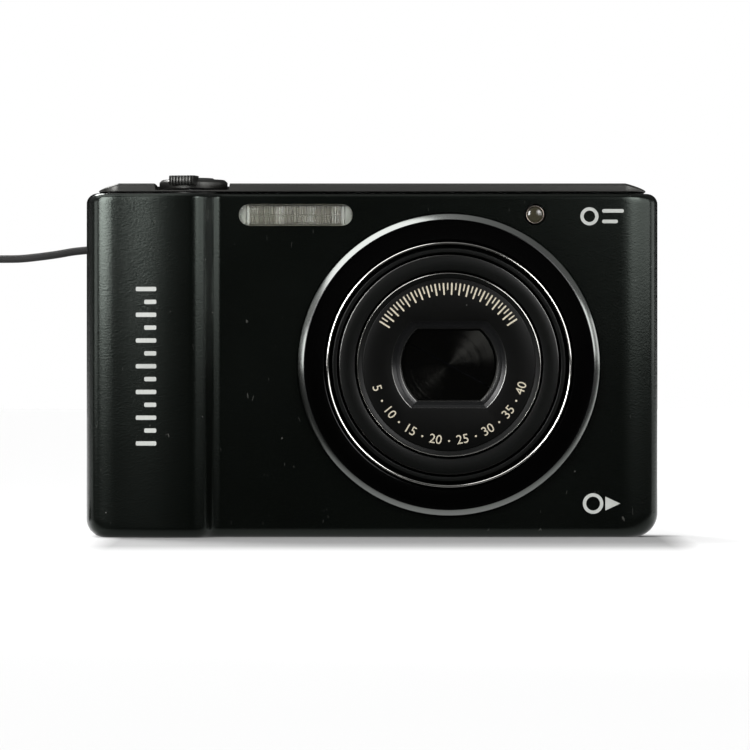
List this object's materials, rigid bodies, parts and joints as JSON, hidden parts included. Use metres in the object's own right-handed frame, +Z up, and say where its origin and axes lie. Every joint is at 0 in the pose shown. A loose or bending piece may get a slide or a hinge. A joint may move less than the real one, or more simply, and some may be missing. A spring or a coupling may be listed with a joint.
{
  "type": "compact digital camera",
  "caption": "Slim pocket camera with a moulded grip, retracting zoom lens behind a leaf barrier, flash, rear screen and keys, battery door and a braided wrist cord.",
  "frame": {"origin": "on the ground under the middle of the camera, without its cord", "axes": "+Z up, the lens looks along -Y, +X to the right as seen from the front"},
  "size_m": [0.1396, 0.0342, 0.06],
  "materials": {
    "front_cover": "satin black anodised and painted shell",
    "rear_cover": "fine satin black moulding",
    "top_cover": "satin black moulding",
    "lens_bezel": "polished silver flank and gloss black face",
    "chrome_trim_ring": "bright chrome",
    "lens_base": "matt black",
    "rear_lens": "coated glass",
    "image_sensor_board": "green circuit board",
    "zoom_motor": "plated steel can",
    "flash_window": "ribbed clear plastic",
    "flash_reflector": "polished reflector",
    "flash_tube": "clear glass tube",
    "flash_capacitor": "dark sleeve",
    "af_lamp_lens": "amber lens",
    "switch_board": "green circuit board",
    "battery_holder": "black moulding",
    "battery": "dark plastic case",
    "memory_card": "dark blue plastic",
    "chassis": "thin plated steel",
    "main_board": "green circuit board",
    "lcd_panel": "framed display module",
    "lcd_window": "gloss black window",
    "tripod_bush": "nickel plated brass, blind hole",
    "strap_pin": "steel pin",
    "usb_connector": "plated steel socket",
    "screw": "black plated steel",
    "cord": "braided black cord",
    "strap_tie": "black rubber tie",
    "strap_ferrule": "dark plated crimp",
    "lens_barrel_outer": "satin black",
    "lens_barrel_inner": "satin black",
    "front_ring": null,
    "front_lens": "coated glass",
    "barrier_leaf": "black, brushed in circles",
    "shutter_button": "satin dark grey",
    "zoom_lever": "satin black, ribbed tab",
    "key": "satin dark grey",
    "battery_door_pin": "steel pin",
    "battery_door": "fine satin black moulding",
    "battery_latch": "orange-brown plastic hook"
  },
  "bodies": {
    "camera": {"front_cover": "front_cover", "rear_cover": "rear_cover", "top_cover": "top_cover", "lens_bezel": "lens_bezel", "chrome_trim_ring": "chrome_trim_ring", "lens_base": "lens_base", "rear_lens": "rear_lens", "image_sensor_board": "image_sensor_board", "zoom_motor": "zoom_motor", "flash_window": "flash_window", "flash_reflector": "flash_reflector", "flash_tube": "flash_tube", "flash_capacitor": "flash_capacitor", "af_lamp_lens": "af_lamp_lens", "switch_board": "switch_board", "battery_holder": "battery_holder", "battery": "battery", "memory_card": "memory_card", "chassis": "chassis", "main_board": "main_board", "lcd_panel": "lcd_panel", "lcd_window": "lcd_window", "tripod_bush": "tripod_bush", "strap_pin": "strap_pin", "usb_connector": "usb_connector", "screw_bottom_middle": "screw", "screw_bottom_right": "screw", "screw_side_lower": "screw", "screw_side_upper": "screw", "strap_cord": "cord", "strap_coil": "cord", "strap_tail": "cord", "strap_tie": "strap_tie", "strap_ferrule": "strap_ferrule"},
    "lens_outer": {"lens_barrel_outer": "lens_barrel_outer"},
    "lens_inner": {"lens_barrel_inner": "lens_barrel_inner", "front_ring": "front_ring", "front_lens": "front_lens"},
    "leaf_upper_lead": {"barrier_leaf_upper_lead": "barrier_leaf"},
    "leaf_lower_lead": {"barrier_leaf_lower_lead": "barrier_leaf"},
    "leaf_upper_trail": {"barrier_leaf_upper_trail": "barrier_leaf"},
    "leaf_lower_trail": {"barrier_leaf_lower_trail": "barrier_leaf"},
    "shutter": {"shutter_button": "shutter_button"},
    "zoom": {"zoom_lever": "zoom_lever"},
    "power": {"power_button": "key"},
    "video": {"video_button": "key"},
    "menu": {"menu_button": "key"},
    "function": {"function_button": "key"},
    "playback": {"playback_button": "key"},
    "delete": {"delete_button": "key"},
    "pad": {"direction_pad": "key"},
    "ok": {"ok_button": "key"},
    "door_slide": {"battery_door_pin": "battery_door_pin"},
    "door": {"battery_door": "battery_door"},
    "latch": {"battery_latch": "battery_latch"}
  },
  "joints": [
    {"name": "lens_outer_slide", "type": "slide", "parent": "camera", "child": "lens_outer", "axis": [0, -1, 0], "range_m": [0, 0.0085]},
    {"name": "lens_inner_slide", "type": "slide", "parent": "lens_outer", "child": "lens_inner", "axis": [0, -1, 0], "range_m": [0, 0.008]},
    {"name": "barrier_upper_lead", "type": "hinge", "parent": "lens_inner", "child": "leaf_upper_lead", "pos_m": [0.00164, -0.0079, 0.03463], "axis": [0, -1, 0], "range_deg": [0, 40], "stiffness_Nm_per_rad": 0.0002},
    {"name": "barrier_lower_lead", "type": "hinge", "parent": "lens_inner", "child": "leaf_lower_lead", "pos_m": [0.02376, -0.0079, 0.02257], "axis": [0, -1, 0], "range_deg": [0, 40]},
    {"name": "barrier_upper_trail", "type": "hinge", "parent": "lens_inner", "child": "leaf_upper_trail", "pos_m": [0.00164, -0.00725, 0.03463], "axis": [0, -1, 0], "range_deg": [0, 18]},
    {"name": "barrier_lower_trail", "type": "hinge", "parent": "lens_inner", "child": "leaf_lower_trail", "pos_m": [0.02376, -0.00725, 0.02257], "axis": [0, -1, 0], "range_deg": [0, 18]},
    {"name": "shutter_press", "type": "slide", "parent": "camera", "child": "shutter", "axis": [0, 0, -1], "range_m": [0, 0.0008], "stiffness_N_per_m": 800},
    {"name": "zoom_turn", "type": "hinge", "parent": "camera", "child": "zoom", "pos_m": [-0.0299, 0.0008, 0.0587], "axis": [0, 0, 1], "range_deg": [-15, 15], "stiffness_Nm_per_rad": 0.02},
    {"name": "power_press", "type": "slide", "parent": "camera", "child": "power", "axis": [0, 0, -1], "range_m": [0, 0.0004], "stiffness_N_per_m": 1500},
    {"name": "video_press", "type": "slide", "parent": "camera", "child": "video", "axis": [0, -1, 0], "range_m": [0, 0.00025], "stiffness_N_per_m": 2000},
    {"name": "menu_press", "type": "slide", "parent": "camera", "child": "menu", "axis": [0, -1, 0], "range_m": [0, 0.00025], "stiffness_N_per_m": 2000},
    {"name": "function_press", "type": "slide", "parent": "camera", "child": "function", "axis": [0, -1, 0], "range_m": [0, 0.00025], "stiffness_N_per_m": 2000},
    {"name": "playback_press", "type": "slide", "parent": "camera", "child": "playback", "axis": [0, -1, 0], "range_m": [0, 0.00025], "stiffness_N_per_m": 2000},
    {"name": "delete_press", "type": "slide", "parent": "camera", "child": "delete", "axis": [0, -1, 0], "range_m": [0, 0.00025], "stiffness_N_per_m": 2000},
    {"name": "pad_rock", "type": "hinge", "parent": "camera", "child": "pad", "pos_m": [-0.0305, 0.0086, 0.0275], "axis": [1, 0, 0], "range_deg": [-1.5, 1.5], "stiffness_Nm_per_rad": 0.3},
    {"name": "ok_press", "type": "slide", "parent": "camera", "child": "ok", "axis": [0, -1, 0], "range_m": [0, 0.00025], "stiffness_N_per_m": 2000},
    {"name": "door_slide", "type": "slide", "parent": "camera", "child": "door_slide", "axis": [-1, 0, 0], "range_m": [0, 0.0025]},
    {"name": "door_hinge", "type": "hinge", "parent": "door_slide", "child": "door", "pos_m": [-0.029, 0.0056, 0.0013], "axis": [1, 0, 0], "range_deg": [0, 90]},
    {"name": "latch_release", "type": "slide", "parent": "camera", "child": "latch", "axis": [0, -1, 0], "range_m": [0, 0.0012], "stiffness_N_per_m": 300}
  ],
  "couplings": [
    {"joint": "lens_inner_slide", "follows": "lens_outer_slide", "ratio": 0.94118},
    {"joint": "barrier_lower_lead", "follows": "barrier_upper_lead", "ratio": 1},
    {"joint": "barrier_upper_trail", "follows": "barrier_upper_lead", "ratio": 0.45},
    {"joint": "barrier_lower_trail", "follows": "barrier_upper_lead", "ratio": 0.45}
  ]
}
